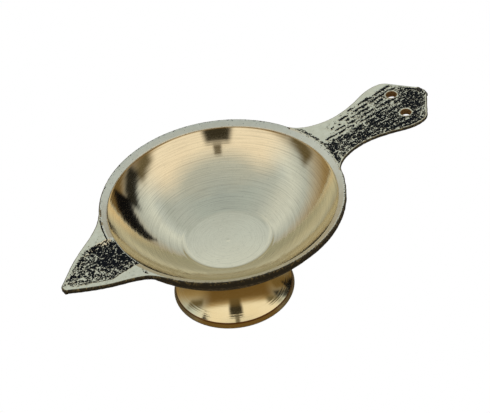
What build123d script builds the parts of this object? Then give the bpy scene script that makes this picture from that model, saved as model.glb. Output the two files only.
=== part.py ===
from build123d import *
import math
import os

# A cast and turned brass oil lamp (diya): a round bowl for the oil, a pointed spout on one
# side that the wick lies in, a flat leaf-shaped handle on the other, and a turned foot that
# a screw holds on from beneath.
# Frame: origin at the centre of the foot's bottom face, +Z up, +X toward the handle, so the
# spout points along -X. Lengths in millimetres, angles in degrees.

# Bowl
rim_radius = 45.0  # outside of the rim
rim_top = 44.7  # the rim's highest plane, shared by the handle
wall = 2.8  # thickness of the bowl and its floor
ring_outer_radius = 44.8  # the turned ring on top of the rim
ring_inner_radius = 42.2
ring_drop = 1.35  # how far the ring falls toward the bowl
lip_radius = 42.0  # where the bowl's sphere begins, just below the ring
lip_depth = 1.7  # depth of that edge below the rim
cove_radius = 17.2  # outer edge of the cove round the floor
cove_rise = 0.7
floor_radius = 14.5
floor_depth = 20.8  # flat floor below the rim
centre_mark_radius = 0.8  # left by the lathe's centre
centre_mark_depth = 0.5

# Spout. Points of its outline are (distance from the bowl's axis, half width).
spout_blend_angle = 33.0  # where the outline leaves the rim's circle, from the spout's line
spout_root = (42.4, 18.1)
spout_middle = (54.5, 10.8)
spout_tip = 68.3
spout_tip_radius = 2.4
spout_tip_angle = 38.0  # slope of the sides where the round tip begins
spout_thickness = 2.6
spout_hinge = 43.0  # where the top starts to fall
spout_droop = 7.2
spout_edge_chamfer = 0.8
channel_mouth_drop = 1.5  # the wick's shallow bed, below the rim where it meets the bowl
channel_fall = 3.6  # slope of its floor, which runs out at the tip
channel_half_width = 8.6
channel_shoulder = 53.0  # where the bed starts to narrow
channel_tip = 66.0
channel_tip_half_width = 1.0

# Handle. Points of its outline are (distance from the bowl's axis, half width).
handle_blend_angle = 21.6
handle_root = (48.5, 11.3)
handle_neck = (58.5, 9.8)
handle_flare = (68.5, 11.6)
handle_widest = (78.8, 14.4)
snout_root = (85.2, 12.5)  # the snout's sides are straight from here
snout_end = (92.7, 2.9)
handle_tip = 93.9
handle_thickness = 2.8
handle_bevel_in = 2.4  # bevel round the underside
handle_bevel_up = 1.6
eye_radius = 2.1  # the two holes near the tip, drilled by hand and so not quite level
eye_places = ((82.6, 5.9), (80.0, -6.2))

# Fixing of the foot
seat_height = 21.5  # the foot's top face, where the bowl sits
boss_radius = 7.5  # boss under the bowl that centres the foot
boss_length = 5.9
socket_clearance = 0.05
screw_radius = 2.45  # an M5 screw with its thread drawn as a plain shank
screw_length = 10.0
screw_head_radius = 4.5
screw_head_height = 3.0
screw_slot_width = 1.2
screw_slot_depth = 1.4
thread_hole_radius = 2.5
thread_hole_depth = 5.8
washer_radius = 5.0
washer_hole_radius = 2.65
washer_thickness = 1.0
spring_washer_radius = 4.4
spring_washer_hole_radius = 2.6
spring_washer_thickness = 1.2
spring_washer_gap = 0.8
spring_washer_slant = 25.0

# Foot
foot_radius = 23.0
foot_band = 2.2  # height of the near-upright band round the bottom
foot_band_top_radius = 21.9
flare_slope = 41.0  # steepness of the trumpet-shaped flare where it leaves the band
flare_end_radius = 14.3  # where the flare runs into the neck
flare_end_height = 12.5
neck_radius = 13.3
neck_height = 15.7
foot_top_radius = 15.0
recess_radius = 18.0  # hollow under the foot
recess_length = 1.6
core_radius = 10.0
core_start = 8.0  # height where the cone from the recess meets the core
web_bottom = 13.0  # the web that the screw clamps
web_top = 15.5
web_hole_radius = 2.75
small_break = 0.3  # broken sharp edge

# Worked out from the dimensions above
lip_height = rim_top - lip_depth
floor_height = rim_top - floor_depth
cove_height = floor_height + cove_rise
bowl_centre = (lip_radius**2 + lip_height**2 - cove_radius**2 - cove_height**2) / (
    2 * (lip_height - cove_height)
)  # height of the centre of the bowl's sphere, on the axis
inside_radius = math.hypot(lip_radius, bowl_centre - lip_height)
outside_radius = inside_radius + wall
seat_radius = math.sqrt(outside_radius**2 - (bowl_centre - seat_height) ** 2)
band_bottom = bowl_centre - math.sqrt(outside_radius**2 - rim_radius**2)
boss_bottom = seat_height - boss_length
washer_bottom = web_bottom - washer_thickness
spring_washer_bottom = washer_bottom - spring_washer_thickness


def falling_plane(distance, height, slope):
    """A plane that falls toward the spout's tip, through this distance out and height."""
    turn = math.radians(slope)
    return Plane(
        origin=(-distance, 0, height),
        x_dir=(-math.cos(turn), 0, -math.sin(turn)),
        z_dir=(-math.sin(turn), 0, math.cos(turn)),
    )


def on_sphere(radius, sphere_radius):
    """The height of a sphere about the bowl's centre, this far from the axis."""
    return bowl_centre - math.sqrt(sphere_radius**2 - radius**2)


def on_rim(angle):
    """A point of the rim's circle and the circle's direction there, turning toward 0."""
    turn = math.radians(angle)
    place = (rim_radius * math.cos(turn), rim_radius * math.sin(turn))
    return place, (math.sin(turn), -math.cos(turn))


# The spout before it joins the bowl: its plan, kept between the sloping top and bottom.
spout_top = falling_plane(spout_hinge, rim_top, spout_droop)
channel_floor = falling_plane(ring_inner_radius, rim_top - channel_mouth_drop, channel_fall)
spout_plane = Plane(origin=(0, 0, rim_top), x_dir=(-1, 0, 0), z_dir=(0, 0, 1))
spout_start, spout_start_way = on_rim(spout_blend_angle)
tip_turn = math.radians(spout_tip_angle)
tip_way = (math.cos(tip_turn), -math.sin(tip_turn))
tip_start = (
    spout_tip - spout_tip_radius * (1 - math.sin(tip_turn)),
    spout_tip_radius * math.cos(tip_turn),
)
with BuildPart() as spout_blank:
    with BuildSketch(spout_plane):
        with BuildLine():
            Line((spout_start[0], 0), spout_start)
            Spline(
                spout_start,
                spout_root,
                spout_middle,
                tip_start,
                tangents=(spout_start_way, tip_way),
            )
            TangentArc(tip_start, (spout_tip, 0), tangent=tip_way)
            mirror(about=Plane.XZ)
        make_face()
    extrude(amount=-3 * spout_thickness)
    split(bisect_by=spout_top, keep=Keep.BOTTOM)
    split(bisect_by=spout_top.offset(-spout_thickness), keep=Keep.TOP)
    underside = spout_blank.faces().filter_by(spout_top).sort_by(Axis.Z)[0]
    side_edges = underside.edges().filter_by(lambda e: e.center().X < -spout_start[0] - 1)
    chamfer(side_edges, spout_edge_chamfer)

# The handle before it joins the bowl: a flat plate, bevelled round its underside.
handle_start, handle_start_way = on_rim(handle_blend_angle)
snout_way = (snout_end[0] - snout_root[0], snout_end[1] - snout_root[1])


def handle_outline(height, inset):
    """A sketch of the handle's plan at this height, with its edge moved in by the inset."""
    points = [handle_start, handle_root, handle_neck, handle_flare, handle_widest, snout_root]
    side = [(x, y - inset) for x, y in points]
    end = (snout_end[0] - inset, snout_end[1] * (1 - inset / snout_root[1]))
    with BuildSketch(Plane.XY.offset(height)) as plan:
        with BuildLine():
            Line((side[0][0], 0), side[0])
            Spline(*side, tangents=(handle_start_way, snout_way))
            Line(side[-1], end)
            TangentArc(end, (handle_tip - inset, 0), tangent=snout_way)
            mirror(about=Plane.XZ)
        make_face()
    return plan


bevel_top = handle_outline(rim_top - handle_thickness + handle_bevel_up, 0)
bevel_bottom = handle_outline(rim_top - handle_thickness, handle_bevel_in)
with BuildPart() as handle_blank:
    extrude(bevel_top.sketch, amount=handle_thickness - handle_bevel_up)
    loft([bevel_top.sketch.face(), bevel_bottom.sketch.face()], ruled=True)
    with BuildSketch(Plane.XY.offset(rim_top)):
        with Locations(*eye_places):
            Circle(eye_radius)
    extrude(amount=-handle_thickness, mode=Mode.SUBTRACT)

# The bowl, spout and handle, cast in one piece and turned inside and on the rim.
with BuildPart() as lamp_body:
    # Outside of the bowl, with the boss under it
    with BuildSketch(Plane.XZ):
        with BuildLine():
            Polyline(
                (0, rim_top),
                (0, boss_bottom),
                (boss_radius, boss_bottom),
                (boss_radius, seat_height),
                (seat_radius, seat_height),
            )
            ThreePointArc(
                (seat_radius, seat_height),
                (
                    (seat_radius + rim_radius) / 2,
                    on_sphere((seat_radius + rim_radius) / 2, outside_radius),
                ),
                (rim_radius, band_bottom),
            )
            Polyline((rim_radius, band_bottom), (rim_radius, rim_top), (0, rim_top))
        make_face()
    revolve(axis=Axis.Z)
    add(spout_blank.part)
    add(handle_blank.part)

    # Inside of the bowl and the sloping turned ring
    with BuildSketch(Plane.XZ):
        with BuildLine():
            Polyline(
                (0, rim_top + ring_drop),
                (0, floor_height - centre_mark_depth),
                (centre_mark_radius, floor_height),
                (floor_radius, floor_height),
            )
            TangentArc((floor_radius, floor_height), (cove_radius, cove_height), tangent=(1, 0))
            ThreePointArc(
                (cove_radius, cove_height),
                (
                    (cove_radius + lip_radius) / 2,
                    on_sphere((cove_radius + lip_radius) / 2, inside_radius),
                ),
                (lip_radius, lip_height),
            )
            Polyline(
                (lip_radius, lip_height),
                (ring_inner_radius, rim_top - ring_drop),
                (ring_outer_radius, rim_top),
                (ring_outer_radius, rim_top + ring_drop),
                (0, rim_top + ring_drop),
            )
        make_face()
    revolve(axis=Axis.Z, mode=Mode.SUBTRACT)

    # Shallow bed for the wick along the spout
    with BuildSketch(channel_floor):
        with BuildLine():
            Polyline(
                (-wall, 0),
                (-wall, channel_half_width),
                (channel_shoulder - ring_inner_radius, channel_half_width),
                (channel_tip - ring_inner_radius, channel_tip_half_width),
                (channel_tip - ring_inner_radius, 0),
            )
            mirror(about=Plane.XZ)
        make_face()
    extrude(amount=2 * channel_mouth_drop, mode=Mode.SUBTRACT)

    # Blind hole for the foot's screw
    with Locations(Plane(origin=(0, 0, boss_bottom), z_dir=(0, 0, -1))):
        Hole(thread_hole_radius, depth=thread_hole_depth)

# Foot: a turned pedestal, hollow beneath, with a web across it that the screw clamps.
flare_turn = math.radians(flare_slope)
flare_way = (-math.cos(flare_turn), math.sin(flare_turn))
with BuildPart() as foot:
    with BuildSketch(Plane.XZ):
        with BuildLine():
            Polyline(
                (0, seat_height),
                (0, 0),
                (foot_radius - small_break, 0),
                (foot_radius, small_break),
                (foot_band_top_radius, foot_band),
            )
            flare = TangentArc(
                (foot_band_top_radius, foot_band),
                (flare_end_radius, flare_end_height),
                tangent=flare_way,
            )
            Spline(
                (flare_end_radius, flare_end_height),
                (neck_radius, neck_height),
                (foot_top_radius, seat_height),
                tangents=(flare % 1, (1, 1)),
            )
            Line((foot_top_radius, seat_height), (0, seat_height))
        make_face()
    revolve(axis=Axis.Z)
    with BuildSketch(Plane.XZ):
        with BuildLine():
            Polyline(
                (0, 0),
                (0, web_bottom),
                (core_radius, web_bottom),
                (core_radius, core_start),
                (recess_radius, recess_length),
                (recess_radius, 0),
                (0, 0),
            )
        make_face()
    revolve(axis=Axis.Z, mode=Mode.SUBTRACT)
    with Locations(Plane.XY.offset(seat_height)):
        CounterBoreHole(
            radius=web_hole_radius,
            counter_bore_radius=boss_radius + socket_clearance,
            counter_bore_depth=seat_height - web_top,
        )

# Screw, upright with its head down, and the two washers above its head
with BuildPart() as foot_screw:
    with BuildSketch(Plane.XY.offset(spring_washer_bottom)):
        Circle(screw_head_radius)
    extrude(amount=-screw_head_height)
    fillet(foot_screw.edges().group_by(Axis.Z)[0], screw_head_height / 3)
    with BuildSketch(Plane.XY.offset(spring_washer_bottom)):
        Circle(screw_radius)
    extrude(amount=screw_length)
    chamfer(foot_screw.edges().group_by(Axis.Z)[-1], 2 * small_break)
    with BuildSketch(Plane.XY.offset(spring_washer_bottom - screw_head_height)):
        Rectangle(3 * screw_head_radius, screw_slot_width)
    extrude(amount=screw_slot_depth, mode=Mode.SUBTRACT)

with BuildPart() as plain_washer:
    with BuildSketch(Plane.XY.offset(washer_bottom)):
        Circle(washer_radius)
        Circle(washer_hole_radius, mode=Mode.SUBTRACT)
    extrude(amount=washer_thickness)

with BuildPart() as spring_washer:
    with BuildSketch(Plane.XY.offset(spring_washer_bottom)):
        Circle(spring_washer_radius)
        Circle(spring_washer_hole_radius, mode=Mode.SUBTRACT)
    extrude(amount=spring_washer_thickness)
    gap_plane = Plane(
        origin=(spring_washer_radius / 2, 0, spring_washer_bottom + spring_washer_thickness / 2),
        z_dir=(0, 1, 0),
    ).rotated((spring_washer_slant, 0, 0))
    with BuildSketch(gap_plane):
        with Locations((spring_washer_radius / 2, 0)):
            Rectangle(spring_washer_radius, 3 * spring_washer_thickness)
    extrude(amount=spring_washer_gap / 2, both=True, mode=Mode.SUBTRACT)

os.makedirs("parts", exist_ok=True)
pieces = {
    "lamp_body": lamp_body,
    "foot": foot,
    "foot_screw": foot_screw,
    "plain_washer": plain_washer,
    "spring_washer": spring_washer,
}
for label, piece in pieces.items():
    piece.part.label = label
    export_step(piece.part, f"parts/{label}.step")
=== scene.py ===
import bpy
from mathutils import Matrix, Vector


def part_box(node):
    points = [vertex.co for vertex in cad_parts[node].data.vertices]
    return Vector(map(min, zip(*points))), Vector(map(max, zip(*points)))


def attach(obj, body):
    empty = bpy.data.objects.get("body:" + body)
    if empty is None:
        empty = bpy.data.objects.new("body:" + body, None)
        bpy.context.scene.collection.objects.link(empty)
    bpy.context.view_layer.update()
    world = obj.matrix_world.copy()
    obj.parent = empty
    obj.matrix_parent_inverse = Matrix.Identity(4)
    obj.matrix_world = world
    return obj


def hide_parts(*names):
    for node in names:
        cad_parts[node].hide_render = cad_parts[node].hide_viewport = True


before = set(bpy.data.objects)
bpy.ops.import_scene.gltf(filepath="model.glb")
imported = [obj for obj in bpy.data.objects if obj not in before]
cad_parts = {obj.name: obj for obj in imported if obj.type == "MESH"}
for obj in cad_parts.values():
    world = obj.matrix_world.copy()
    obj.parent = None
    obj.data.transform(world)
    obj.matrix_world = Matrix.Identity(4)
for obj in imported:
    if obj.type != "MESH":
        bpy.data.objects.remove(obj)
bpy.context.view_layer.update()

import math

import bmesh
import bpy
import numpy as np
from mathutils import Matrix, Quaternion, Vector

# A brass oil lamp. Sizes are millimetres in the CAD frame until a mesh is made, in metres.
MM = 0.001


def cad_box(node):
    """The lowest and highest corner of a CAD node, in millimetres."""
    return [[c / MM for c in corner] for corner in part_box(node)]


body_low, body_high = cad_box("lamp_body")
foot_low, foot_high = cad_box("foot")
screw_low, screw_high = cad_box("foot_screw")
washer_low, washer_high = cad_box("plain_washer")
spring_low, spring_high = cad_box("spring_washer")

RIM_TOP = body_high[2]
RIM = body_high[1]  # radius of the rim
SPOUT_TIP = -body_low[0]
HANDLE_TIP = body_high[0]
SEAT = foot_high[2]  # height where the bowl sits on the foot
BOSS_BOTTOM = body_low[2]
WALL = 2.8

# Turned inside of the bowl
RING_INNER = 42.2
RING_OUTER = 44.8
RING_DROP = 1.35  # how far the ring's inner edge lies below the rim
LIP = 42.0
LIP_HEIGHT = RIM_TOP - 1.7
COVE = 17.2
FLOOR = 14.5
FLOOR_HEIGHT = RIM_TOP - 20.8
COVE_HEIGHT = FLOOR_HEIGHT + 0.7
BOWL_CENTRE = (LIP**2 + LIP_HEIGHT**2 - COVE**2 - COVE_HEIGHT**2) / (2 * (LIP_HEIGHT - COVE_HEIGHT))
INSIDE = math.hypot(LIP, BOWL_CENTRE - LIP_HEIGHT)
OUTSIDE = INSIDE + WALL

# Plan grid: the rim's circle is cut into equal steps, and the spout and handle start on whole ones
STEPS = 600
INNER_STEPS = STEPS // 2
SPOUT_HALF = 55  # steps each side of the spout's line
HANDLE_HALF = 36
EDGE = 0.4  # radius of the rounded edge all round the plan
ROW = 0.36  # spacing of the rows along the spout and handle

# Outlines in plan, as (distance out from the axis, half width)
SPOUT_SIDE = [(42.4, 18.1), (54.5, 10.8)]
SPOUT_TIP_RADIUS = 2.4
SPOUT_TIP_TURN = math.radians(38)
HANDLE_SIDE = [(48.5, 11.3), (58.5, 9.8), (68.5, 11.6), (78.8, 14.4)]
SNOUT_ROOT = (85.2, 12.5)
SNOUT_END = (92.7, 2.9)
EYE_RADIUS = 2.1
EYES = [(82.6, 5.9), (80.0, -6.2)]

# Upper and lower surfaces of the spout and handle
SPOUT_HINGE = 43.0
SPOUT_SLOPE = math.tan(math.radians(7.2))
CHANNEL_DROP = 1.5
CHANNEL_SLOPE = math.tan(math.radians(3.6))
CHANNEL_HALF = 8.6
CHANNEL_SHOULDER = 53.0
CHANNEL_TIP = 66.5
CHANNEL_TIP_HALF = 0.6
SPOUT_THICKNESS = 2.6
SPOUT_BEVEL = (1.6, 0.8)  # in from the edge, and up
HANDLE_THICKNESS = 2.8
HANDLE_BEVEL = (2.4, 1.6)

# Rows of dots on the handle
DOT_FIRST_ROW = 9.1  # distance of the outermost row from the handle's line
DOT_SPACING = 2.05
DOT_FAN = 0.008  # how much the rows spread for each millimetre further out
DOT_NARROW = 62.0  # how far out the spacing is the one above

# Surface texture
TOOL_DEPTH = 0.005  # height of the turning marks
FLOOR_DISH = 0.3  # how far the middle of the floor sinks below its edge
CENTRE_MARK = (0.8, 0.06)  # radius and depth
PIT_DEPTH = 0.22
CAST_WOBBLE = 0.14  # how far the edge strays in plan
CAST_WAVE = 0.12  # how uneven the cast tops are
SKIN_DEPTH = 0.12  # height of the cast skin's grain
SKIN_CELL = 1.1

# Boss, foot and fixings. A point is a radius and a height.
BOSS = 7.5
THREAD_HOLE = 2.5
WEB_TOP = 15.5
WEB_BOTTOM = washer_high[2]
WEB_HOLE = 2.75
FOOT_BAND_TOP = (21.9, 2.2)
FOOT_FLARE_END = (14.3, 12.5)
FOOT_FLARE_SLOPE = math.radians(41)
FOOT_NECK = (13.3, 15.7)
FOOT_TOP_RADIUS = 15.0
FOOT_GROOVES = (1.6, 2.2, 3.1)  # distances up the flare
FOOT_GROOVE_WIDTH = 0.16
FOOT_GROOVE_DEPTH = 0.015
HOLLOW_RIM = (18.0, 1.6)
HOLLOW_TOP = (10.0, 8.0)
FOOT_STEPS = 240
THREAD_PITCH = 0.8
THREAD_CREST = 2.45
THREAD_ROOT = 2.0
SLOT_HALF = 0.6
SLOT_DEPTH = 1.4
WASHER_HOLE = 2.65
WASHER_ROUNDING = 0.18
SPRING_HOLE = 2.6
SPRING_GAP = 0.8
SPRING_SLANT = math.radians(25)
FIXING_STEPS = 96

# Camera and stage, in metres and radians
AZIMUTH = math.radians(-29.3)
ELEVATION = math.radians(43.3)
ROLL = math.radians(-7.46)
DISTANCE = 16 * RIM * MM
LOOK_AT = Vector((3.3, -9.9, RIM_TOP)) * MM
LENS = 140.2  # focal length in millimetres
GROUND_SIZE = 6
GROUND_GAP = 0.00005  # keeps the ground off the foot's flat face
GROUND_SHADE = (0.36, 0.30, 0.22, 1)

# Zones of the body, which are also its material numbers
TURNED, RING, ANTIQUE, SKIN, DRILLED = range(5)


def smooth(low, high, x):
    """0 below low, 1 above high, and a soft step between."""
    t = np.clip((x - low) / (high - low), 0, 1)
    return t * t * (3 - 2 * t)


def noise(x, y, cell, seed):
    """Smooth random values from 0 to 1 with cells of this size. The seed picks the pattern."""
    size = 256
    table = np.random.default_rng(seed).random((size, size))
    u, v = x / cell, y / cell
    i, j = np.floor(u).astype(int), np.floor(v).astype(int)
    a, b = u - i, v - j
    a, b = a * a * (3 - 2 * a), b * b * (3 - 2 * b)
    i, j, k, m = i % size, j % size, (i + 1) % size, (j + 1) % size
    low = table[i, j] * (1 - a) + table[k, j] * a
    high = table[i, m] * (1 - a) + table[k, m] * a
    return low * (1 - b) + high * b


def grain(x, y, cell, seed):
    """Two octaves of noise, spread evenly over 0 to 1."""
    value = 0.62 * noise(x, y, cell, seed) + 0.38 * noise(x + y, y - x, cell * 0.7, seed + 1)
    return smooth(0.12, 0.88, value)


def spline(points, start_way, end_way, spacing):
    """Points along a smooth curve through these points, with these directions at its ends."""
    p = np.array(points, float)
    t = np.concatenate([[0], np.cumsum(np.linalg.norm(np.diff(p, axis=0), axis=1))])
    h = np.diff(t)
    last = len(p) - 1
    matrix = np.zeros((last + 1, last + 1))
    known = np.zeros((last + 1, 2))
    matrix[0, 0] = matrix[last, last] = 1
    known[0] = np.array(start_way) / np.linalg.norm(start_way)
    known[last] = np.array(end_way) / np.linalg.norm(end_way)
    for k in range(1, last):
        matrix[k, k - 1 : k + 2] = h[k], 2 * (h[k - 1] + h[k]), h[k - 1]
        before = (p[k] - p[k - 1]) / h[k - 1]
        after = (p[k + 1] - p[k]) / h[k]
        known[k] = 3 * (h[k] * before + h[k - 1] * after)
    slopes = np.linalg.solve(matrix, known)
    s = np.linspace(0, t[-1], max(2, round(t[-1] / spacing) + 1))
    k = np.clip(np.searchsorted(t, s, side="right") - 1, 0, last - 1)
    u = ((s - t[k]) / h[k])[:, None]
    w = h[k][:, None]
    start = (1 + 2 * u) * (1 - u) ** 2 * p[k] + u * (1 - u) ** 2 * w * slopes[k]
    return start + u**2 * (3 - 2 * u) * p[k + 1] - u**2 * (1 - u) * w * slopes[k + 1]


def into_scene(name, data):
    """A new object in the scene that holds this mesh, light or camera."""
    thing = bpy.data.objects.new(name, data)
    bpy.context.scene.collection.objects.link(thing)
    return thing


class Shell:
    """Collects grids of points and joins them into one mesh."""

    def __init__(self):
        self.points = []
        self.dark = []
        self.faces = []
        self.zones = []
        self.count = 0

    def add(self, points, dark=0.0):
        """Adds an array of points, and returns their numbers in the same shape."""
        points = np.asarray(points, float)
        shape = points.shape[:-1]
        total = int(np.prod(shape))
        self.points.append(points.reshape(-1, 3))
        self.dark.append(np.broadcast_to(dark, shape).reshape(-1))
        numbers = np.arange(self.count, self.count + total).reshape(shape)
        self.count += total
        return numbers

    def skin(self, numbers, zone, closed=False, keep=None):
        """Faces between the rows and columns of a grid of point numbers."""
        if closed:
            numbers = np.concatenate([numbers, numbers[:, :1]], axis=1)
        corners = [numbers[:-1, :-1], numbers[:-1, 1:], numbers[1:, 1:], numbers[1:, :-1]]
        quads = np.stack(corners, axis=-1)
        quads = quads[keep] if keep is not None else quads.reshape(-1, 4)
        self.faces.extend(quads.tolist())
        self.zones.extend([zone] * len(quads))

    def face(self, numbers, zone):
        """One face between the points with these numbers."""
        self.faces.append([int(n) for n in numbers])
        self.zones.append(zone)

    def build(self, name, materials):
        """The finished object, with shared points merged and a dark attribute for the pits."""
        mesh = bpy.data.meshes.new(name)
        points = np.concatenate(self.points) * MM
        mesh.from_pydata(points.tolist(), [], self.faces)
        mesh.polygons.foreach_set("material_index", self.zones)
        mesh.attributes.new("dark", "FLOAT", "POINT").data.foreach_set(
            "value", np.concatenate(self.dark).astype(np.float32)
        )
        work = bmesh.new()
        work.from_mesh(mesh)
        bmesh.ops.remove_doubles(work, verts=work.verts, dist=0.004 * MM)
        bmesh.ops.dissolve_degenerate(work, edges=work.edges, dist=0.0005 * MM)
        bmesh.ops.recalc_face_normals(work, faces=work.faces)
        loose = [v for v in work.verts if not v.link_faces]
        bmesh.ops.delete(work, geom=loose, context="VERTS")
        work.to_mesh(mesh)
        work.free()
        mesh.shade_smooth()
        for material in materials:
            mesh.materials.append(material)
        return into_scene(name, mesh)


def arc(start, end, way, spacing):
    """Points along the circle that leaves the start in this direction and ends at the end."""
    start, end, way = (np.array(v, float) for v in (start, end, way))
    side = np.array([-way[1], way[0]])
    chord = end - start
    radius = chord @ chord / (2 * chord @ side)
    centre = start + side * radius
    sweep = 2 * math.atan2(chord @ side, chord @ way)
    count = max(2, math.ceil(abs(radius * sweep) / spacing))
    t = np.linspace(0, sweep, count + 1)[:, None]
    return centre - side * radius * np.cos(t) + way * radius * np.sin(t)


def turn(profile, steps):
    """A profile of (radius, height) points turned into a grid of points round the axis."""
    profile = np.array(profile, float)
    angles = np.arange(steps) * 2 * math.pi / steps
    r, z = profile[:, :1], profile[:, 1:]
    x, y = r * np.cos(angles), r * np.sin(angles)
    return np.stack([x, y, np.broadcast_to(z, x.shape)], axis=-1)


def resample(corners, spacing):
    """Points along straight lines between the corners, no further apart than this."""
    corners = np.array(corners, float)
    out = [corners[:1]]
    for a, b in zip(corners[:-1], corners[1:]):
        count = max(1, math.ceil(np.linalg.norm(b - a) / spacing))
        out.append(a + (b - a) * (np.arange(1, count + 1) / count)[:, None])
    return np.concatenate(out)


def rounded(corners, radii, spacing):
    """A line through these corners with each inner corner rounded to its own radius."""
    corners = [np.array(c, float) for c in corners]
    line = [corners[0]]
    for before, corner, after, radius in zip(corners[:-2], corners[1:-1], corners[2:], radii):
        a, b = before - corner, after - corner
        reach_a, reach_b = np.linalg.norm(a), np.linalg.norm(b)
        a, b = a / reach_a, b / reach_b
        half = math.acos(np.clip(a @ b, -1, 1)) / 2
        reach = min(radius / math.tan(half), 0.49 * reach_a, 0.49 * reach_b)
        if reach < 1e-3 or half > 0.49 * math.pi:
            line.append(corner)
            continue
        radius = reach * math.tan(half)
        centre = corner + (a + b) / np.linalg.norm(a + b) * radius / math.sin(half)
        start, end = corner + a * reach - centre, corner + b * reach - centre
        spread = math.pi - 2 * half
        count = max(3, math.ceil(radius * spread / spacing))
        for t in np.arange(count + 1) / count:
            spoke = math.sin((1 - t) * spread) * start + math.sin(t * spread) * end
            line.append(centre + spoke / math.sin(spread))
    line.append(corners[-1])
    return resample(line, spacing)


def tool_marks(r):
    """Fine rings left by the turning tool, with a few deeper ones."""
    flat = np.zeros_like(r)
    marks = noise(r, flat, 0.8, 3) + 0.6 * noise(r, flat, 0.35, 4) - 0.8
    deep = smooth(0.86, 0.97, noise(r, flat, 0.9, 11))
    return TOOL_DEPTH * marks - 2.5 * TOOL_DEPTH * deep


def inside_height(r):
    """Height of the turned surface at this radius: floor, cove, sphere, lip and ring."""
    cove = ((COVE - FLOOR) ** 2 + (COVE_HEIGHT - FLOOR_HEIGHT) ** 2) / (2 * (COVE_HEIGHT - FLOOR_HEIGHT))
    z = FLOOR_HEIGHT - FLOOR_DISH * (1 - (np.minimum(r, FLOOR) / FLOOR) ** 2)
    z -= CENTRE_MARK[1] * np.clip(1 - r / CENTRE_MARK[0], 0, 1)
    in_cove = (r > FLOOR) & (r <= COVE)
    z[in_cove] += cove - np.sqrt(cove**2 - (r[in_cove] - FLOOR) ** 2)
    bowl = (r > COVE) & (r <= LIP)
    z[bowl] = BOWL_CENTRE - np.sqrt(INSIDE**2 - r[bowl] ** 2)
    marked = r <= LIP
    z[marked] += (tool_marks(r) * smooth(0.8, 1.6, r))[marked]
    ring_foot = RIM_TOP - RING_DROP
    lip_line = [
        (LIP, LIP_HEIGHT),
        (LIP + 0.1, LIP_HEIGHT + 0.2),
        (RING_INNER, ring_foot - 0.02),
        (RING_INNER + 0.2, ring_foot + 0.1),
        (RING_OUTER - 0.25, RIM_TOP - 0.13),
        (RING_OUTER, RIM_TOP - 0.03),
    ]
    lip = r > LIP
    z[lip] = np.interp(r[lip], *zip(*lip_line))
    return z


def bed_half(out):
    """Half the width of the wick's bed, this far out."""
    return np.interp(out, [CHANNEL_SHOULDER, CHANNEL_TIP], [CHANNEL_HALF, CHANNEL_TIP_HALF])


def channel(x, y):
    """How much of the wick's bed is at this place, from 0 to 1."""
    out = -x
    half = bed_half(out)
    wobble = 0.5 * (noise(x, y, 2.5, 21) - 0.5)
    across = 1 - smooth(half - 0.8 + wobble, half + 0.8 + wobble, np.abs(y))
    return across * (1 - smooth(CHANNEL_TIP - 3, CHANNEL_TIP, out)) * (out > 0)


def sink_channel(x, y, z):
    """Lowers the surface to the floor of the wick's bed."""
    floor = RIM_TOP - CHANNEL_DROP - CHANNEL_SLOPE * (-x - RING_INNER)
    return z - channel(x, y) * np.maximum(z - floor, 0)


def spout_plane(x):
    """Height of the spout's sloping top."""
    return RIM_TOP - SPOUT_SLOPE * np.maximum(-x - SPOUT_HINGE, 0)


def pitted(x, y, cover, seed, cell):
    """Small pits over this share of the surface. Returns their depth and how black it all is."""
    value = grain(x / 1.3, y, cell, seed)
    pits = smooth(0.94 - cover, 1.06 - cover, value) * smooth(0.02, 0.08, cover)
    return PIT_DEPTH * pits, 0.75 * cover + 0.25 * pits


def spout_pits(x, y):
    """The wick's bed is blackened and pitted; the spout's borders are nearly clean, except for painted
    shade along the crease where the spout meets the ring.
    """
    bed = smooth(0.0, 0.3, channel(x, y))
    toward_tip = smooth(44.0, 60.0, -x)
    patches = noise(x, y, 3.0, 31) - 0.5
    cover = bed * (0.72 - 0.20 * toward_tip + 0.25 * patches)
    past_wall = 1 - smooth(0.0, 2.5, y - bed_half(-x))
    far_side = smooth(0.0, 2.0, y) * past_wall * smooth(45.0, 50.0, -x)
    cover += (1 - bed) * (0.06 + 0.6 * far_side)
    # A dark line round the rim, where the spout meets the ring, is painted shade of the crease there; it
    # also sinks small pits.
    past_rim = np.hypot(x, y) - RIM
    seam_shade = 1 - smooth(0.4, 1.0, np.abs(past_rim - 0.1))
    far_seam_shade = 0.85 * smooth(18.5, 20.0, y) * (1 - 0.5 * smooth(27.0, 30.0, y))
    near_seam_shade = 0.45 * smooth(12.0, 14.0, -y) * (1 - smooth(16.0, 17.0, -y))
    cover = np.maximum(cover, seam_shade * (far_seam_shade + near_seam_shade))
    # A second dark line just inside the rim on the far side is also painted shade of that crease.
    line = 1 - smooth(0.15, 0.45, np.abs(past_rim + 0.25))
    cover = np.maximum(cover, 0.8 * line * smooth(7.5, 9.0, y) * (1 - smooth(18.5, 20.0, y)))
    return pitted(x, y, cover, 32, 0.7)


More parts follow.
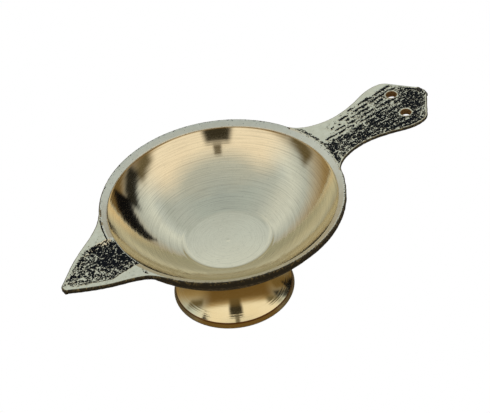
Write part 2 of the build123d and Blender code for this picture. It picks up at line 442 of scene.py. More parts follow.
def handle_pits(x, y):
    """Rows of dots along the handle's far half, and dense specks on its near half and head, with a line of
    painted shade where the handle meets the rim.
    """
    fan = y / (1 + DOT_FAN * (x - DOT_NARROW))
    lane = (DOT_FIRST_ROW - fan) / DOT_SPACING + 0.25 * (noise(x, y, 2.2, 45) - 0.5)
    row = np.round(lane)
    line = 1 - smooth(0.17, 0.36, np.abs(lane - row))
    start = np.interp(y, [-1.0, 2.0, 4.0, 7.0, 9.0, 10.5], [45.0, 47.5, 50.5, 51.0, 60.0, 72.0])
    begun = smooth(0.0, 2.0, x - start)
    full = smooth(1.0, 16.0, x - start)
    level = 0.60 - 0.22 * full - 0.34 * (row == 0) * smooth(0.1, 0.5, full)
    broken = 0.55 * noise(x + 7.37 * row, 41.3 * row, 1.4, 41) + 0.45 * noise(x, y, 0.75, 47)
    beads = line * smooth(level - 0.08, level + 0.08, broken)
    beads *= begun * (row >= 0) * (1 - 0.6 * smooth(84.0, 88.0, x))
    near = 1 - smooth(-2.0, 1.5, y + 2.5 * (noise(x, y, 3.0, 43) - 0.5))
    border = smooth(9.6, 10.4, fan) * (1 - smooth(82.0, 87.0, x))
    head = smooth(80.0, 87.0, x)
    gaps = 0.15 + 0.25 * smooth(6.0, 18.0, x - start)
    cover = 0.56 * near + gaps * (1 - near)
    on_head = 0.37 - 0.12 * smooth(4.0, 8.0, y) + 0.26 * smooth(-9.0, -5.0, -y) * smooth(-11.0, -6.0, y)
    cover = cover * (1 - head) + head * on_head
    cover = cover * begun * (1 - border) + 0.05
    cover += 0.10 * (noise(x, y, 1.8, 46) - 0.5) * smooth(0.1, 0.3, cover)
    # A dark line where the handle meets the rim: painted shade of the crease there, which also sinks small
    # pits.
    seam_shade = 1 - smooth(0.5, 0.9 + 0.7 * near, np.abs(np.hypot(x, y) - RIM - 0.6 - 0.3 * near))
    cover = np.maximum(cover, seam_shade * (0.55 + 0.12 * near))
    depth, dark = pitted(x, y, cover, 44, 0.6)
    return np.maximum(depth, PIT_DEPTH * beads), np.maximum(dark, 0.82 * beads)


def side_outline(start_half, points, tip, tip_way, spacing):
    """One side of the spout or handle, from the rim to where its tip begins."""
    angle = 2 * math.pi * start_half / STEPS
    radius = RIM - EDGE
    start = (radius * math.cos(angle), radius * math.sin(angle))
    start_way = (math.sin(angle), -math.cos(angle))
    return spline([start, *points, tip], start_way, tip_way, spacing)


def blade(side, tip_reach, start_half):
    """A grid over the spout or handle, as distance out and to the side. Rows run from side to side."""
    angle = 2 * math.pi * start_half / STEPS
    turns = np.arange(-start_half, start_half + 1) * 2 * math.pi / STEPS
    across = np.sin(turns) / math.sin(angle)
    radius = RIM - EDGE
    far = np.linspace(0, 1, len(side))[:, None]
    root = radius * (np.cos(turns) - math.cos(angle)) * (1 - far) ** 3
    tip = (tip_reach - side[-1, 0]) * np.sqrt(np.clip(1 - across**2, 0, 1)) * far**12
    out = side[:, :1] + root + tip
    return out, side[:, 1:] * across


def edge_distance(x, y, line):
    """Distance from each point to the nearest point of the line."""
    best = np.full(x.shape, 1e9)
    for px, py in line:
        best = np.minimum(best, np.hypot(x - px, y - py))
    return best


def eye_cells(x, y):
    """The cells of a grid that the two eyes cut away."""
    cx, cy = [(v[:-1, :-1] + v[1:, :-1] + v[1:, 1:] + v[:-1, 1:]) / 4 for v in (x, y)]
    gone = np.zeros(cx.shape, bool)
    for ex, ey in EYES:
        gone |= np.hypot(cx - ex, cy - ey) < EYE_RADIUS + 0.12
    return gone


def snap_to_eyes(x, y, gone):
    """Moves the points round each cut onto its circle, and returns each cut's edge in order."""
    sides = set()
    for i, j in zip(*np.nonzero(gone)):
        ring = [(i, j), (i, j + 1), (i + 1, j + 1), (i + 1, j)]
        for a, b in zip(ring, ring[1:] + ring[:1]):
            if (b, a) in sides:
                sides.remove((b, a))
            else:
                sides.add((a, b))
    edges = dict(sorted(sides))
    loops = []
    while edges:
        start = next(iter(edges))
        loop = [start]
        while edges[loop[-1]] != start:
            loop.append(edges[loop[-1]])
        for place in loop:
            del edges[place]
        loops.append(np.array(loop).T)
    for rows, columns in loops:
        middle = (x[rows, columns].mean(), y[rows, columns].mean())
        ex, ey = min(EYES, key=lambda eye: math.hypot(eye[0] - middle[0], eye[1] - middle[1]))
        away = np.hypot(x[rows, columns] - ex, y[rows, columns] - ey)
        x[rows, columns] = ex + (x[rows, columns] - ex) * EYE_RADIUS / away
        y[rows, columns] = ey + (y[rows, columns] - ey) * EYE_RADIUS / away
    return loops


def halve(shell, fine, coarse, zone):
    """Joins a ring of points to one inside it that has half as many."""
    for k in range(len(coarse)):
        ends = [coarse[k], coarse[(k + 1) % len(coarse)]]
        wide = [fine[(2 * k + 2) % len(fine)], fine[2 * k + 1], fine[2 * k]]
        shell.face(ends + wide, zone)


def skin_grain(x, y):
    """Depth of the cast skin's grain, the same for the bowl, the spout and the handle."""
    return SKIN_DEPTH * (grain(x, y, SKIN_CELL, 51) - 0.5)


def add_inside(shell):
    """The turned bowl, lip and ring. Returns the outermost ring of points."""
    floor = [0, 0.4, 0.8, 1.1, *np.linspace(1.5, FLOOR - 0.25, 34)]
    wall = [*np.linspace(FLOOR, COVE, 9), *np.linspace(COVE + 0.12, LIP - 0.3, 80)]
    inner = np.array(floor + wall)
    bowl = shell.add(turn(np.stack([inner, inside_height(inner)], axis=1), INNER_STEPS))
    shell.skin(bowl, TURNED, closed=True)
    lip_places = [LIP, LIP + 0.1]
    ring_places = [RING_INNER, RING_INNER + 0.2, 42.9, 43.4, 43.9, RIM - EDGE]
    outer = np.array(lip_places + ring_places)
    grid = turn(np.stack([outer, inside_height(outer)], axis=1), STEPS)
    x, y = grid[..., 0], grid[..., 1]
    on_ring = (outer >= RING_INNER)[:, None]
    in_bed = channel(x, y) * on_ring
    depth, dark = spout_pits(x, y)
    grid[..., 2] = np.where(on_ring, sink_channel(x, y, grid[..., 2]), grid[..., 2])
    grid[..., 2] -= depth * in_bed
    dark = dark * in_bed
    ring = shell.add(grid, dark)
    lips = len(lip_places)
    cells = in_bed[lips:-1] > 0.5
    shell.skin(ring[: lips + 1], RING, closed=True)
    shell.skin(ring[lips:], RING, closed=True, keep=~cells)
    shell.skin(ring[lips:], ANTIQUE, closed=True, keep=cells)
    halve(shell, ring[0], bowl[-1], TURNED)
    return ring[-1]


def add_underside(shell):
    """The bowl's outside, its boss and the screw's blind hole. Returns the outermost ring."""
    seat = math.sqrt(OUTSIDE**2 - (BOWL_CENTRE - SEAT) ** 2)
    sphere = [(r, BOWL_CENTRE - math.sqrt(OUTSIDE**2 - r * r)) for r in np.linspace(RIM - EDGE, seat, 46)]
    break_size = 0.35
    fixing = resample([(seat, SEAT), (BOSS, SEAT)], 1.6)[1:].tolist() + [
        (BOSS, BOSS_BOTTOM + break_size),
        (BOSS - break_size, BOSS_BOTTOM),
        (THREAD_HOLE + break_size, BOSS_BOTTOM),
        (THREAD_HOLE, BOSS_BOTTOM + break_size),
        (THREAD_HOLE, SEAT - 0.2),
        (0, SEAT + 0.8),
    ]
    rim = shell.add(turn(sphere[:1], STEPS), 0.5)
    grid = turn(sphere[1:] + fixing, INNER_STEPS)
    cast = grid[: len(sphere) - 2]
    cast[..., 2] -= skin_grain(cast[..., 0], cast[..., 1])
    under = shell.add(grid, 0.5)
    shell.skin(under[: len(sphere) - 1], SKIN, closed=True)
    shell.skin(under[len(sphere) - 2 :], DRILLED, closed=True)
    halve(shell, rim[0], under[0], SKIN)
    return rim[0]


def add_blade(shell, side, tip_reach, half, facing, rims, top_of, bottom_of):
    """The spout or the handle. Returns the point numbers of its upper and lower surface."""
    out, y = blade(side, tip_reach, half)
    x = facing * out
    line = np.concatenate([side, [[tip_reach, 0]], side[::-1] * [1, -1]]) * [facing, 1]
    away = edge_distance(x, y, line)
    gone = eye_cells(x, y)
    loops = snap_to_eyes(x, y, gone) if gone.any() else []
    steps = np.arange(-half, half + 1)
    root = steps % STEPS if facing > 0 else (STEPS // 2 - steps) % STEPS
    height, dark = top_of(x, y, away)
    top = shell.add(np.stack([x, y, height], axis=-1), dark)
    bottom = shell.add(np.stack([x, y, bottom_of(x, y, away)], axis=-1), 0.5)
    top[0], bottom[0] = rims[0][root], rims[1][root]
    shell.skin(top, ANTIQUE, keep=~gone)
    shell.skin(bottom, SKIN, keep=~gone)
    points = np.concatenate(shell.points)
    for rows, columns in loops:
        high, low = points[top[rows, columns]], points[bottom[rows, columns]]
        middle = [shell.add(high + (low - high) * share, 0.3) for share in (0.25, 0.5, 0.75)]
        shell.skin(np.stack([top[rows, columns], *middle, bottom[rows, columns]]), DRILLED, closed=True)
    return top, bottom


def hem(grid):
    """The free edge of a spout or handle grid, from one root round its tip to the other."""
    return np.concatenate([grid[:, 0], grid[-1, 1:-1], grid[::-1, -1]])


def add_side_wall(shell, rims, spouts, handles):
    """The side all round the plan, from the upper surface to the lower, with rounded edges."""
    back = np.arange(HANDLE_HALF + 1, STEPS // 2 - SPOUT_HALF)
    front = np.arange(STEPS // 2 + SPOUT_HALF + 1, STEPS - HANDLE_HALF)
    loops = [
        np.concatenate([hem(handle), rim[back], hem(spout)[::-1], rim[front]])
        for rim, spout, handle in zip(rims, spouts, handles)
    ]
    points = np.concatenate(shell.points)
    high, low = points[loops[0]], points[loops[1]]
    along = np.roll(high, -1, axis=0) - np.roll(high, 1, axis=0)
    outward = np.stack([along[:, 1], -along[:, 0], 0 * along[:, 0]], axis=1)
    outward /= np.linalg.norm(outward, axis=1, keepdims=True)
    rough = grain(high[:, 0], high[:, 1], 1.6, 61) - 0.5
    corner = EDGE + CAST_WOBBLE * rough[:, None]
    up = np.array([0, 0, 1.0])
    turns = np.radians([22.5, 45, 67.5, 90])
    bends = [(outward * corner * math.sin(a), up * corner * (1 - math.cos(a))) for a in turns]
    rows = [(high + out - drop, 0.5) for out, drop in bends]
    for share, shade in ((0.3, 0.5), (0.6, 0.9)):
        place = high + (low - high) * share
        wobble = CAST_WOBBLE * (grain(place[:, 0] * 3, place[:, 2] * 3, 3.0, 62) - 0.5)
        place += outward * (corner + wobble[:, None])
        rows.append((place, shade))
    rows += [(low + out + drop, 0.8) for out, drop in bends[::-1]]
    wall = np.stack([loops[0], *[shell.add(place, dark) for place, dark in rows], loops[1]])
    shell.skin(wall, SKIN, closed=True)


def spout_top(x, y, away):
    """Height of the spout's top, and how dark it is."""
    depth, dark = spout_pits(x, y)
    inner = smooth(0.1, 0.5, away)
    height = sink_channel(x, y, spout_plane(x)) - depth * inner
    return height + CAST_WAVE * (noise(x, y, 6.0, 71) - 0.5), dark * inner


def spout_bottom(x, y, away):
    """Height of the spout's underside."""
    bevel_in, bevel_up = SPOUT_BEVEL
    height = spout_plane(x) - SPOUT_THICKNESS + bevel_up * (1 - smooth(0, bevel_in, away))
    return height - skin_grain(x, y)


def handle_top(x, y, away):
    """Height of the handle's top, and how dark it is."""
    depth, dark = handle_pits(x, y)
    eyes = min_eye_distance(x, y)
    inner = smooth(0.1, 0.5, away) * smooth(0.2, 0.7, eyes)
    sunk = depth * inner + 0.12 * (1 - smooth(0.0, 0.5, eyes))
    return RIM_TOP - sunk + CAST_WAVE * (noise(x, y, 7.0, 72) - 0.5), dark * inner


def handle_bottom(x, y, away):
    """Height of the handle's underside."""
    bevel_in, bevel_up = HANDLE_BEVEL
    height = RIM_TOP - HANDLE_THICKNESS + bevel_up * (1 - smooth(0, bevel_in, away))
    height -= 0.5 * np.exp(-(np.hypot(x, y) - RIM) / 1.5) * smooth(0, bevel_in, away)
    return height - skin_grain(x, y)


def min_eye_distance(x, y):
    """Distance from each point to the edge of the nearer eye."""
    return np.minimum(*[np.hypot(x - ex, y - ey) - EYE_RADIUS for ex, ey in EYES])


def make_body(materials):
    """The cast body: bowl, spout and handle in one closed mesh."""
    shell = Shell()
    rims = add_inside(shell), add_underside(shell)
    along, inward = math.cos(SPOUT_TIP_TURN), math.sin(SPOUT_TIP_TURN)
    tip_radius = SPOUT_TIP_RADIUS - EDGE
    tip_reach = SPOUT_TIP - EDGE
    tip = (tip_reach - tip_radius * (1 - inward), tip_radius * along)
    spout_points = [(x, y - EDGE) for x, y in SPOUT_SIDE]
    spout_side = side_outline(SPOUT_HALF, spout_points, tip, (along, -inward), ROW)
    spouts = add_blade(shell, spout_side, tip_reach, SPOUT_HALF, -1, rims, spout_top, spout_bottom)
    handle_points = [(x, y - EDGE) for x, y in HANDLE_SIDE]
    snout_root = (SNOUT_ROOT[0], SNOUT_ROOT[1] - EDGE)
    snout_end = (SNOUT_END[0] - EDGE, SNOUT_END[1])
    snout_way = np.subtract(snout_end, snout_root)
    handle_side = side_outline(HANDLE_HALF, handle_points, snout_root, snout_way, ROW)
    handle_side = np.concatenate([handle_side, resample([snout_root, snout_end], ROW)[1:]])
    tip_reach = HANDLE_TIP - EDGE
    handles = add_blade(shell, handle_side, tip_reach, HANDLE_HALF, 1, rims, handle_top, handle_bottom)
    add_side_wall(shell, rims, spouts, handles)
    return shell.build("cast_body", materials)


def make_foot(materials):
    """The turned foot, with its hollow, its web and the socket for the bowl's boss."""
    top, bottom, radius = SEAT, foot_low[2], foot_high[0]
    hollow, core = HOLLOW_RIM[0], HOLLOW_TOP[0]
    flat = 20.0  # the profile starts and ends here, on the flat that the foot stands on
    flare_way = (-math.cos(FOOT_FLARE_SLOPE), math.sin(FOOT_FLARE_SLOPE))
    flare = arc(FOOT_BAND_TOP, FOOT_FLARE_END, flare_way, 0.12)
    end_way = flare[-1] - flare[-2]
    out = np.array([end_way[1], -end_way[0]]) / np.linalg.norm(end_way)
    length = np.linalg.norm(flare - flare[0], axis=1)
    for place in FOOT_GROOVES:
        groove = FOOT_GROOVE_DEPTH * np.exp(-(((length - place) / FOOT_GROOVE_WIDTH) ** 2))
        flare = flare - out * groove[:, None]
    neck = spline([FOOT_FLARE_END, FOOT_NECK, (FOOT_TOP_RADIUS, top)], end_way, (1, 1), 0.4)
    band = rounded([(flat, bottom), (radius, bottom), FOOT_BAND_TOP, flare[3]], [0.35, 0.15], 0.1)
    inner = [
        (FOOT_TOP_RADIUS, top),
        (BOSS + 0.25, top),
        (BOSS + 0.05, top - 0.2),
        (BOSS + 0.05, WEB_TOP),
        (WEB_HOLE, WEB_TOP),
        (WEB_HOLE, WEB_BOTTOM),
        (core, WEB_BOTTOM),
        HOLLOW_TOP,
        HOLLOW_RIM,
        (hollow, bottom + 0.2),
        (hollow + 0.2, bottom),
        (flat, bottom),
    ]
    outside = np.concatenate([band, flare[4:], neck[1:]])
    profile = np.concatenate([outside, resample(inner, 0.8)[1:]])
    shell = Shell()
    shell.skin(shell.add(turn(profile, FOOT_STEPS)), 0, closed=True)
    return shell.build("turned_foot", materials)


def make_screw(materials):
    """The foot's screw: slotted pan head, shank and a helical thread."""
    head_bottom, tip = screw_low[2], screw_high[2]
    head_top = spring_low[2]
    thread_low, thread_high = head_top + 0.6, tip - 0.5
    radius, root = screw_high[0], THREAD_ROOT
    shell = Shell()
    rows = np.arange(thread_low, thread_high, THREAD_PITCH / 10)
    angles = np.arange(FIXING_STEPS) * 2 * math.pi / FIXING_STEPS
    z = rows[:, None] + 0 * angles
    phase = (z / THREAD_PITCH - angles / (2 * math.pi)) % 1
    ridge = 1 - np.abs(2 * phase - 1)
    fade = smooth(thread_low, thread_low + 0.8, z) * (1 - smooth(thread_high - 0.9, thread_high, z))
    thread = root + (THREAD_CREST - root) * np.clip(1.4 * ridge - 0.2, 0, 1) * fade
    body = np.stack([thread * np.cos(angles), thread * np.sin(angles), z], axis=-1)
    fillet = [(root + 0.6, head_top), (root + 0.3, head_top + 0.1), (root, head_top + 0.4)]
    under = turn([(radius - 0.3, head_top), *fillet], FIXING_STEPS)
    end = turn([(root - 0.2, tip - 0.2), (root - 0.5, tip), (0, tip)], FIXING_STEPS)
    crown = rounded(
        [(0, head_bottom), (radius, head_bottom), (radius, head_top), (radius - 0.3, head_top)],
        [1.3, 0.2],
        0.25,
    )
    grid = np.concatenate([turn(crown, FIXING_STEPS), under[1:], body, end])
    numbers = shell.add(grid)
    shell.skin(numbers, 0, closed=True)
    screw = shell.build("foot_screw_threaded", materials)
    cutter = bpy.data.meshes.new("slot")
    box = bmesh.new()
    size = Vector((3 * radius, 2 * SLOT_HALF, 2 * SLOT_DEPTH)) * MM
    place = Matrix.LocRotScale((0, 0, head_bottom * MM), None, size)
    bmesh.ops.create_cube(box, size=1, matrix=place)
    box.to_mesh(cutter)
    box.free()
    tool = into_scene("slot", cutter)
    cut = screw.modifiers.new("slot", "BOOLEAN")
    cut.object = tool
    cut.operation = "DIFFERENCE"
    cut.solver = "EXACT"
    bpy.context.view_layer.update()
    finished = bpy.data.meshes.new_from_object(screw.evaluated_get(bpy.context.evaluated_depsgraph_get()))
    screw.modifiers.clear()
    screw.data = finished
    bpy.data.objects.remove(tool)
    return screw


def make_washer(name, materials, low, high, hole, gap=0, slant=0):
    """A washer with rounded edges; a gap, which may slant, makes it a split spring washer."""
    radius, thick = high[0], high[2] - low[2]
    rounding = min(WASHER_ROUNDING, thick / 3)
    middle = ((hole + radius) / 2, 0)
    corners = [middle, (radius, 0), (radius, thick), (hole, thick), (hole, 0), middle]
    profile = rounded(corners, [rounding] * 4, 0.1)
    across, height = profile[:, :1], profile[:, 1:]
    half = np.arcsin(gap / 2 / math.cos(slant) / across)
    lean = -math.tan(slant) * (height - thick / 2) / across
    angles = lean + half + np.linspace(0, 1, FIXING_STEPS + 1) * 2 * (math.pi - half)
    x, y = across * np.cos(angles), across * np.sin(angles)
    z = low[2] + height + 0 * angles
    shell = Shell()
    numbers = shell.add(np.stack([x, y, z], axis=-1))
    shell.skin(numbers, 0)
    if gap:
        for column in (0, -1):
            shell.face(numbers[:-1, column], 0)
    return shell.build(name, materials)


def put(tree, socket, value):
    """Gives an input a value or a link."""
    if isinstance(value, bpy.types.NodeSocket):
        tree.links.new(value, socket)
    else:
        socket.default_value = value


def node(tree, kind, settings=None, **inputs):
    """Adds a node, sets its properties, and gives its inputs values or links."""
    made = tree.nodes.new(kind)
    for key, value in (settings or {}).items():
        setattr(made, key, value)
    for key, value in inputs.items():
        put(tree, made.inputs[key.replace("_", " ")], value)
    return made


def maths(tree, operation, *values):
    """The result of a sum on values or links."""
    made = node(tree, "ShaderNodeMath", {"operation": operation})
    for socket, value in zip(made.inputs, values):
        put(tree, socket, value)
    return made.outputs[0]


def times(tree, a, b):
    """The product of two values or links."""
    return maths(tree, "MULTIPLY", a, b)


def vectors(tree, operation, *values, scale=1.0):
    """The result of a sum on vectors. A length or a dot product is a single value."""
    made = node(tree, "ShaderNodeVectorMath", {"operation": operation})
    made.inputs[3].default_value = scale  # read by SCALE alone
    for socket, value in zip(made.inputs, values):
        put(tree, socket, value)
    return made.outputs["Value" if operation in ("LENGTH", "DOT_PRODUCT") else "Vector"]


def linear(tree, value, start, slope):
    """The start plus the slope times the value."""
    return maths(tree, "ADD", start, times(tree, value, slope))


def ramp(tree, value, stops):
    """Colours along a value, from (place, colour) stops."""
    made = node(tree, "ShaderNodeValToRGB", Fac=value)
    band = made.color_ramp
    while len(band.elements) < len(stops):
        band.elements.new(0.5)
    for element, (place, colour) in zip(band.elements, stops):
        element.position = place
        element.color = (*colour, 1)
    return made.outputs["Color"]


def mix(tree, share, a, b):
    """A mix of two colours."""
    made = tree.nodes.new("ShaderNodeMix")
    made.data_type = "RGBA"
    for socket, value in zip((made.inputs[0], made.inputs[6], made.inputs[7]), (share, a, b)):
        put(tree, socket, (*value, 1) if isinstance(value, tuple) else value)
    return made.outputs[2]


def ranged(tree, value, start, end):
    """0 at the start of this range, 1 at its end, and straight between."""
    return node(tree, "ShaderNodeMapRange", Value=value, From_Min=start, From_Max=end).outputs[0]


def metal(name):
    """A new material with a metallic surface. Returns it, its nodes and its surface."""
    made = bpy.data.materials.new(name)
    made.use_nodes = True
    tree = made.node_tree
    surface = tree.nodes["Principled BSDF"]
    surface.inputs["Metallic"].default_value = 1
    return made, tree, surface


def coat(tree, surface, colour, rough):
    """Gives the surface its colour and roughness."""
    tree.links.new(colour, surface.inputs["Base Color"])
    tree.links.new(rough, surface.inputs["Roughness"])


def place_of(tree):
    """The point in millimetres, its distance from the axis, and its separate coordinates."""
    where = node(tree, "ShaderNodeTexCoord").outputs["Object"]
    point = vectors(tree, "SCALE", where, scale=1 / MM)
    parts = node(tree, "ShaderNodeSeparateXYZ", Vector=point)
    flat = node(tree, "ShaderNodeCombineXYZ", X=parts.outputs["X"], Y=parts.outputs["Y"]).outputs[0]
    return point, vectors(tree, "LENGTH", flat), parts


def speck(tree, where, scale, detail=2.0, roughness=0.5):
    """A noise texture's value."""
    inputs = {"Scale": scale, "Detail": detail, "Roughness": roughness}
    return node(tree, "ShaderNodeTexNoise", Vector=where, **inputs).outputs["Fac"]


def rings(tree, value, scale, detail=2.0):
    """Noise along one value, such as the distance from the axis."""
    line = {"noise_dimensions": "1D"}
    return node(tree, "ShaderNodeTexNoise", line, W=value, Scale=scale, Detail=detail).outputs["Fac"]


def bump(tree, surface, height, distance, strength):
    """Bumps of this height, in millimetres."""
    made = node(tree, "ShaderNodeBump", Height=height, Distance=distance * MM, Strength=strength)
    tree.links.new(made.outputs[0], surface.inputs["Normal"])


def brushed(tree, radius, parts, fine, long):
    """Noise drawn out round the axis: fine cells per millimetre across, long cells per turn."""
    flat = node(tree, "ShaderNodeCombineXYZ", X=parts.outputs["X"], Y=parts.outputs["Y"]).outputs[0]
    way = vectors(tree, "SCALE", vectors(tree, "NORMALIZE", flat), scale=long)
    out = node(tree, "ShaderNodeCombineXYZ", Z=times(tree, radius, fine)).outputs[0]
    return speck(tree, vectors(tree, "ADD", way, out), 1.0, 3.0, 0.6)


def turned_grain(tree, surface, parts, amount):
    """Stretches reflections across the turning marks, which run round the axis."""
    back = times(tree, parts.outputs["Y"], -1.0)
    way = node(tree, "ShaderNodeCombineXYZ", X=back, Y=parts.outputs["X"]).outputs[0]
    tree.links.new(vectors(tree, "NORMALIZE", way), surface.inputs["Tangent"])
    surface.inputs["Anisotropic"].default_value = amount
    surface.inputs["Anisotropic Rotation"].default_value = 0.25


def turned_material():
    """Inside of the bowl: turned brass, with rings and hair-fine scratches round the axis."""
    made, tree, surface = metal("turned_bowl")
    where, radius, parts = place_of(tree)
    fine = rings(tree, radius, 2.6, 3.0)
    hair = brushed(tree, radius, parts, 3.2, 3.0)
    cloud = speck(tree, where, 0.11, 4.0)
    mottle = speck(tree, where, 1.2, 5.0, 0.7)
    share = maths(tree, "ADD", times(tree, cloud, 0.7), times(tree, hair, 0.3))
    colour = mix(tree, share, (0.76, 0.64, 0.43), (0.90, 0.78, 0.53))
    outer = ranged(tree, radius, 6.0, 24.0)
    strength = linear(tree, outer, 0.25, 0.75)
    lines = ranged(tree, maths(tree, "ADD", fine, hair), 1.05, 0.7)
    shade = times(tree, lines, strength)
    colour = mix(tree, times(tree, shade, 0.6), colour, (0.55, 0.47, 0.32))
    spots = ranged(tree, mottle, 0.56, 0.75)
    colour = mix(tree, times(tree, spots, 0.5), colour, (0.50, 0.44, 0.32))
    coat(tree, surface, colour, linear(tree, hair, 0.05, 0.07))
    turned_grain(tree, surface, parts, 0.5)
    height = maths(tree, "ADD", rings(tree, radius, 1.1, 4.0), times(tree, hair, 0.3))
    bump(tree, surface, times(tree, height, strength), 0.011, 0.8)
    return made


def ring_material():
    """The machined ring on the rim, with black specks of grime that thicken along its outer edge into a
    line of painted shade.
    """
    made, tree, surface = metal("machined_ring")
    where, radius, _ = place_of(tree)
    fine = rings(tree, radius, 4.0, 3.0)
    cloud = speck(tree, where, 0.5, 3.0)
    colour = mix(tree, cloud, (0.74, 0.66, 0.48), (0.88, 0.79, 0.60))
    # Black specks over the ring grow dense near the outer edge, where they paint the shade of the step
    # down to the cast edge.
    border = ranged(tree, radius, RIM - 1.0, RIM - 0.3)
    spots = maths(tree, "ADD", speck(tree, where, 1.7, 2.0), times(tree, border, 0.2))
    specks_and_edge_shade = ranged(tree, spots, 0.69, 0.74)
    colour = mix(tree, specks_and_edge_shade, colour, (0.012, 0.012, 0.012))
    coat(tree, surface, colour, linear(tree, fine, 0.3, 0.15))
    bump(tree, surface, fine, 0.02, 0.5)
    return made


def antique_material():
    """Cast top of the spout and handle: worn brass, with black left in the pits, and black painted shade
    along the creases at the rim.
    """
    made, tree, surface = metal("antique_cast")
    where, _, _ = place_of(tree)
    dark = node(tree, "ShaderNodeAttribute", {"attribute_name": "dark"}).outputs["Fac"]
    small = speck(tree, vectors(tree, "MULTIPLY", where, (0.75, 1.0, 1.0)), 2.2, 1.5)
    edge = maths(tree, "ADD", small, times(tree, maths(tree, "SUBTRACT", dark, 0.5), 0.62))
    black = ranged(tree, edge, 0.47, 0.53)
    pale = mix(tree, speck(tree, where, 0.5, 4.0), (0.72, 0.63, 0.42), (0.97, 0.88, 0.64))
    colour = mix(tree, black, pale, (0.006, 0.007, 0.009))
    coat(tree, surface, colour, linear(tree, black, 0.34, 0.35))
    shine = maths(tree, "SUBTRACT", 1.0, black)
    tree.links.new(shine, surface.inputs["Metallic"])
    tree.links.new(linear(tree, shine, 0.06, 0.44), surface.inputs["Specular IOR Level"])
    low = maths(tree, "SUBTRACT", speck(tree, where, 4.0, 3.0), times(tree, black, 1.5))
    bump(tree, surface, low, 0.06, 0.6)
    return made


def skin_material():
    """Blackened casting skin, with brass showing on its high spots."""
    made, tree, surface = metal("cast_skin")
    where, _, _ = place_of(tree)
    dark = node(tree, "ShaderNodeAttribute", {"attribute_name": "dark"}).outputs["Fac"]
    coarse = speck(tree, where, 1.3, 4.0)
    value = maths(tree, "ADD", coarse, times(tree, maths(tree, "SUBTRACT", 0.5, dark), 0.5))
    worn = ranged(tree, value, 0.50, 0.72)
    colour = mix(tree, worn, (0.032, 0.023, 0.008), (0.38, 0.28, 0.12))
    coat(tree, surface, colour, linear(tree, worn, 0.62, -0.2))
    tree.links.new(times(tree, worn, 0.9), surface.inputs["Metallic"])
    bump(tree, surface, speck(tree, where, 2.2, 4.0), 0.12, 0.6)
    return made


def drilled_material():
    """Bare brass inside the drilled holes and round the hidden seat, coloured a dark brown that paints the
    shade inside the holes.
    """
    made, tree, surface = metal("drilled_brass")
    where, _, parts = place_of(tree)
    # Dark brown: bare brass with the shade inside the holes painted into its colour.
    colour = mix(tree, speck(tree, where, 1.5, 3.0), (0.30, 0.17, 0.07), (0.55, 0.36, 0.16))
    coat(tree, surface, colour, maths(tree, "ADD", 0.35, speck(tree, where, 3.0)))
    bump(tree, surface, rings(tree, parts.outputs["Z"], 3.0), 0.03, 0.5)
    return made


def foot_material():
    """Polished golden brass with turning marks."""
    made, tree, surface = metal("turned_foot_brass")
    where, radius, parts = place_of(tree)
    marks = rings(tree, maths(tree, "ADD", radius, parts.outputs["Z"]), 2.4, 3.0)
    colour = mix(tree, speck(tree, where, 0.12, 3.0), (0.79, 0.64, 0.35), (0.88, 0.765, 0.49))
    at_band_top = maths(tree, "COMPARE", parts.outputs["Z"], FOOT_BAND_TOP[1] - 0.25, 0.3)
    colour = mix(tree, times(tree, at_band_top, 0.75), colour, (0.32, 0.14, 0.04))
    coat(tree, surface, colour, linear(tree, marks, 0.05, 0.10))
    turned_grain(tree, surface, parts, 0.7)
    bump(tree, surface, marks, 0.02, 0.4)
    return made


def fixing_material(name, low, high):
    """Machined metal of the screw and washers."""
    made, tree, surface = metal(name)
    where, radius, parts = place_of(tree)
    marks = rings(tree, maths(tree, "ADD", radius, parts.outputs["Z"]), 5.0, 2.0)
    coat(tree, surface, mix(tree, speck(tree, where, 0.8, 3.0), low, high), linear(tree, marks, 0.22, 0.2))
    bump(tree, surface, marks, 0.02, 0.4)
    return made


def by_ray(tree, to_camera, to_others):
    """One shader for what the camera sees, and another for reflections and light."""
    seen = node(tree, "ShaderNodeLightPath").outputs["Is Camera Ray"]
    both = node(tree, "ShaderNodeMixShader", Fac=seen)
    tree.links.new(to_others.outputs[0], both.inputs[1])
    tree.links.new(to_camera.outputs[0], both.inputs[2])
    return both.outputs[0]


def floor_material():
    """White to the camera, so that the ground fades into the backdrop, and warmer to reflections."""
    made = bpy.data.materials.new("pale_floor")
    made.use_nodes = True
    tree = made.node_tree
    tree.nodes.clear()
    paper = node(tree, "ShaderNodeBsdfDiffuse", Color=GROUND_SHADE)
    white = node(tree, "ShaderNodeEmission", Strength=1.0)
    out = node(tree, "ShaderNodeOutputMaterial")
    tree.links.new(by_ray(tree, white, paper), out.inputs["Surface"])
    return made


body = make_body(
    [turned_material(), ring_material(), antique_material(), skin_material(), drilled_material()]
)
foot = make_foot([foot_material()])
screw = make_screw([fixing_material("screw_brass", (0.45, 0.33, 0.14), (0.72, 0.58, 0.30))])
steel = fixing_material("washer_steel", (0.30, 0.30, 0.30), (0.55, 0.55, 0.53))
washer = make_washer("plain_washer_turned", [steel], washer_low, washer_high, WASHER_HOLE)
spring = make_washer(
    "spring_washer_split", [steel], spring_low, spring_high, SPRING_HOLE, SPRING_GAP, SPRING_SLANT
)

for piece, replaced, slot_name in [
    (body, "lamp_body", "cast_brass"),
    (foot, "foot", "turned_brass"),
    (screw, "foot_screw", "screw_brass"),
    (washer, "plain_washer", "washer_steel"),
    (spring, "spring_washer", "washer_steel"),
]:
    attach(piece, "root")
    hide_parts(replaced)

# Floor, lights and backdrop
bpy.ops.mesh.primitive_plane_add(size=GROUND_SIZE, location=(0, 0, -GROUND_GAP))
ground = bpy.context.object
ground.name = "ground"
ground.data.materials.append(floor_material())


def direction_of(azimuth, elevation):
    """The way to something at these angles. Azimuth 0 is the front, and it grows to the right."""
    flat = math.cos(elevation)
    return Vector((math.sin(azimuth) * flat, -math.cos(azimuth) * flat, math.sin(elevation)))


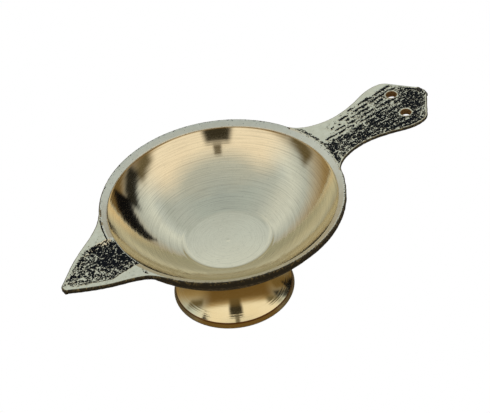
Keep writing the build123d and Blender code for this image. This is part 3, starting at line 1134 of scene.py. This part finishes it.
def soft_light(name, azimuth, elevation, distance, size, power):
    """A square light facing the bowl. Azimuth is counted from the camera, to its right."""
    away = direction_of(AZIMUTH + math.radians(azimuth), math.radians(elevation))
    data = bpy.data.lights.new(name, "AREA")
    data.size = size
    data.energy = power
    lamp = into_scene(name, data)
    lamp.location = away * distance + Vector((0, 0, RIM_TOP * MM))
    lamp.rotation_mode = "QUATERNION"
    lamp.rotation_quaternion = away.to_track_quat("Z", "Y")
    lamp.visible_camera = False
    lamp.visible_glossy = False


soft_light("top_light", azimuth=180, elevation=70, distance=1.2, size=1.2, power=2.0)

# Backdrop: white to the camera. Reflections see a cool sky, a warm band and a few dark things.
world = bpy.data.worlds.new("studio")
bpy.context.scene.world = world
world.use_nodes = True
sky = world.node_tree
sky.nodes.clear()
direction = node(sky, "ShaderNodeTexCoord").outputs["Generated"]


def part_along(way):
    """How far the direction runs along this way."""
    return vectors(sky, "DOT_PRODUCT", direction, way)


def degrees(value):
    """An angle turned from radians into degrees."""
    return times(sky, value, 180 / math.pi)


to_side = part_along((math.cos(AZIMUTH), math.sin(AZIMUTH), 0))
to_camera = part_along((math.sin(AZIMUTH), -math.cos(AZIMUTH), 0))
round_about = degrees(maths(sky, "ARCTAN2", to_side, to_camera))
height = degrees(maths(sky, "ARCSINE", part_along((0, 0, 1))))


def between(value, low, high, soft):
    """1 between low and high, 0 outside, with a soft border."""
    ends = [ranged(sky, value, low - soft, low + soft), ranged(sky, value, high + soft, high - soft)]
    for end in ends:
        end.node.interpolation_type = "SMOOTHSTEP"
    return times(sky, *ends)


def card(colour, shade, left, right, low, high, soft_side, soft_up):
    """Puts a soft-edged card of this shade into the sky, between these angles in degrees."""
    across = between(round_about, left, right, soft_side)
    up = between(height, low, high, soft_up)
    return mix(sky, times(sky, across, up), colour, shade)


rise = maths(sky, "DIVIDE", height, 90)
behind = ramp(
    sky,
    rise,
    [
        (0.0, (0.26, 0.18, 0.08)),
        (0.09, (0.34, 0.26, 0.14)),
        (0.17, (0.45, 0.42, 0.36)),
        (0.28, (0.52, 0.61, 0.70)),
        (0.41, (0.74, 0.86, 0.98)),
        (0.47, (0.60, 0.72, 0.86)),
        (0.54, (0.48, 0.58, 0.68)),
        (0.64, (0.50, 0.60, 0.71)),
        (0.78, (0.46, 0.57, 0.68)),
        (1.0, (0.41, 0.51, 0.62)),
    ],
)
ahead = ramp(
    sky,
    rise,
    [
        (0.0, (0.15, 0.092, 0.03)),
        (0.22, (0.17, 0.107, 0.038)),
        (0.28, (0.42, 0.32, 0.18)),
        (0.33, (1.0, 0.96, 0.90)),
        (0.52, (1.0, 0.95, 0.88)),
        (0.68, (0.55, 0.62, 0.68)),
        (1.0, (0.41, 0.51, 0.62)),
    ],
)
tone = mix(sky, between(round_about, -75, 90, 22), behind, ahead)
# Each card: its shade, then left, right, low and high in degrees, and how soft its sides and ends are
for shade, left, right, low, high, soft_side, soft_up in [
    ((0.68, 0.78, 0.88), -150, -100, 36, 52, 20, 10),  # cool light behind, on the left
    ((0.17, 0.115, 0.045), 92, 150, -6, 15, 6, 3),  # brown wall behind, on the right
    ((0.14, 0.10, 0.045), -17, 9, 20, 38, 5, 3),  # dark figure in front: lower part,
    ((0.04, 0.036, 0.025), -18, 10, 30, 45, 4, 3),  # upper part
    ((0.16, 0.14, 0.10), -8, 2, 46, 55, 2, 2),  # and top
    ((0.13, 0.105, 0.055), -103, -76, 15, 25, 4, 3),  # low dark card on the left
    ((0.14, 0.12, 0.07), 66, 92, 23, 32, 6, 3),  # and three on the right, ever darker
    ((0.02, 0.02, 0.017), 86, 118, 17, 27, 4, 2),
    ((0.005, 0.005, 0.006), 112, 144, 7, 21, 2, 1.5),
]:
    tone = card(tone, shade, left, right, low, high, soft_side, soft_up)
studio = node(sky, "ShaderNodeBackground", Color=tone, Strength=1.0)
white = node(sky, "ShaderNodeBackground", Color=(1, 1, 1, 1), Strength=1.0)
sky_out = node(sky, "ShaderNodeOutputWorld")
sky.links.new(by_ray(sky, white, studio), sky_out.inputs["Surface"])

# Camera: looks down at a point on the rim's plane, with a small roll
camera_data = bpy.data.cameras.new("camera")
camera_data.lens = LENS
camera = into_scene("camera", camera_data)
camera.location = direction_of(AZIMUTH, ELEVATION) * DISTANCE
camera.rotation_mode = "QUATERNION"
straight = (LOOK_AT - camera.location).to_track_quat("-Z", "Y")
camera.rotation_quaternion = straight @ Quaternion((0, 0, 1), ROLL)
bpy.context.scene.camera = camera
bpy.context.scene.view_settings.view_transform = "Standard"
